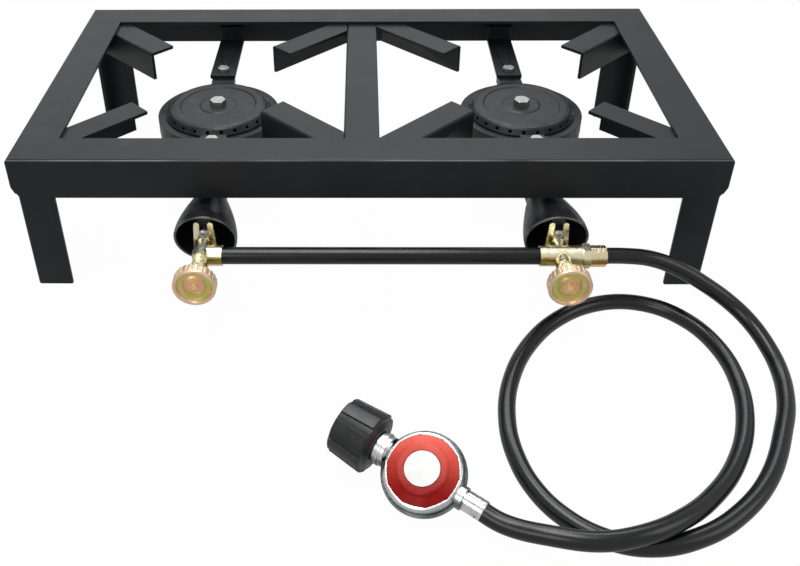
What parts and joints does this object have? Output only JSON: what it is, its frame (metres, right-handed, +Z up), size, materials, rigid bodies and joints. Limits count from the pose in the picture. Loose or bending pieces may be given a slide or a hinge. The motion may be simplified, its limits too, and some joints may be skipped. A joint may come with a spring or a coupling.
{
  "type": "gas burner stand",
  "caption": "Low angle-iron cooking stand with cast-iron gas burners under pot fingers, brass needle valves on a front pipe, and a rubber hose with regulator and tank nut.",
  "frame": {"origin": "On the floor, midway between the two side rails, and midway between the knobs' front faces and the back of the frame.", "axes": "+X to the right along the longest side, +Y to the back, away from the valves, +Z up."},
  "size_m": [0.6132, 0.5882, 0.128],
  "materials": {
    "frame_steel": "satin black paint",
    "burner_iron": "rough cast surface, black",
    "plated_bolt": "zinc plate",
    "valve_brass": "turned brass",
    "packing_ptfe": "smooth",
    "knob_steel": "yellow zinc chromate on pressed steel",
    "manifold_paint": "gloss black paint",
    "ferrule_brass": "drawn brass sleeve",
    "hose_rubber": "smooth, slightly glossy",
    "zinc_casting": "die-cast zinc, satin",
    "ferrule_steel": "drawn sleeve",
    "diaphragm_rubber": "matte",
    "spring_steel": "wire",
    "bonnet_red": "red paint on a die casting",
    "disc_white": "smooth white",
    "nut_plastic": "moulded, satin black"
  },
  "bodies": {
    "frame": {"front_rail": "frame_steel", "rear_rail": "frame_steel", "left_rail": "frame_steel", "right_rail": "frame_steel", "centre_bar": "frame_steel", "front_left_leg": "frame_steel", "front_right_leg": "frame_steel", "rear_left_leg": "frame_steel", "rear_right_leg": "frame_steel", "left_finger_rear_outer": "frame_steel", "left_finger_rear_inner": "frame_steel", "left_finger_front_inner": "frame_steel", "left_finger_front_outer": "frame_steel", "right_finger_rear_outer": "frame_steel", "right_finger_rear_inner": "frame_steel", "right_finger_front_inner": "frame_steel", "right_finger_front_outer": "frame_steel", "left_rear_bracket": "frame_steel", "left_front_bracket": "frame_steel", "right_rear_bracket": "frame_steel", "right_front_bracket": "frame_steel", "left_burner": "burner_iron", "right_burner": "burner_iron", "left_burner_cap": "burner_iron", "right_burner_cap": "burner_iron", "cap_bolts": "plated_bolt", "bracket_bolts": "plated_bolt", "bracket_nuts": "plated_bolt", "left_valve_body": "valve_brass", "right_valve_body": "valve_brass", "left_orifice": "valve_brass", "right_orifice": "valve_brass", "left_packing_nut": "valve_brass", "right_packing_nut": "valve_brass", "left_packing": "packing_ptfe", "right_packing": "packing_ptfe", "fork_screws": "plated_bolt", "manifold_pipe": "manifold_paint", "hose_fitting": "valve_brass", "valve_ferrule": "ferrule_brass", "hose": "hose_rubber", "regulator_ferrule": "ferrule_steel", "regulator_body": "zinc_casting", "regulator_diaphragm": "diaphragm_rubber", "regulator_spring": "spring_steel", "regulator_bonnet": "bonnet_red", "bonnet_disc": "disc_white", "inlet_nipple": "valve_brass", "nipple_seal": "diaphragm_rubber"},
    "left_stem": {"left_stem": "valve_brass"},
    "left_knob": {"left_knob": "knob_steel", "left_knob_screw": "knob_steel"},
    "right_stem": {"right_stem": "valve_brass"},
    "right_knob": {"right_knob": "knob_steel", "right_knob_screw": "knob_steel"},
    "tank_nut": {"tank_nut": "nut_plastic"}
  },
  "joints": [
    {"name": "left_stem_travel", "type": "slide", "parent": "frame", "child": "left_stem", "axis": [0, -1, 0], "range_m": [0, 0.0015]},
    {"name": "left_knob_turn", "type": "hinge", "parent": "left_stem", "child": "left_knob", "pos_m": [-0.133, -0.19, 0.062], "axis": [0, -1, 0], "range_deg": [0, 540]},
    {"name": "right_stem_travel", "type": "slide", "parent": "frame", "child": "right_stem", "axis": [0, -1, 0], "range_m": [0, 0.0015]},
    {"name": "right_knob_turn", "type": "hinge", "parent": "right_stem", "child": "right_knob", "pos_m": [0.154, -0.19, 0.062], "axis": [0, -1, 0], "range_deg": [0, 540]},
    {"name": "tank_nut_turn", "type": "hinge", "parent": "frame", "child": "tank_nut", "pos_m": [0.0366, -0.3364, 0.0194], "axis": [-0.8152, 0.5708, 0.0976], "continuous": true}
  ],
  "couplings": [
    {"joint": "left_stem_travel", "follows": "left_knob_turn", "m_per_rad": 0.00015915},
    {"joint": "right_stem_travel", "follows": "right_knob_turn", "m_per_rad": 0.00015915}
  ]
}
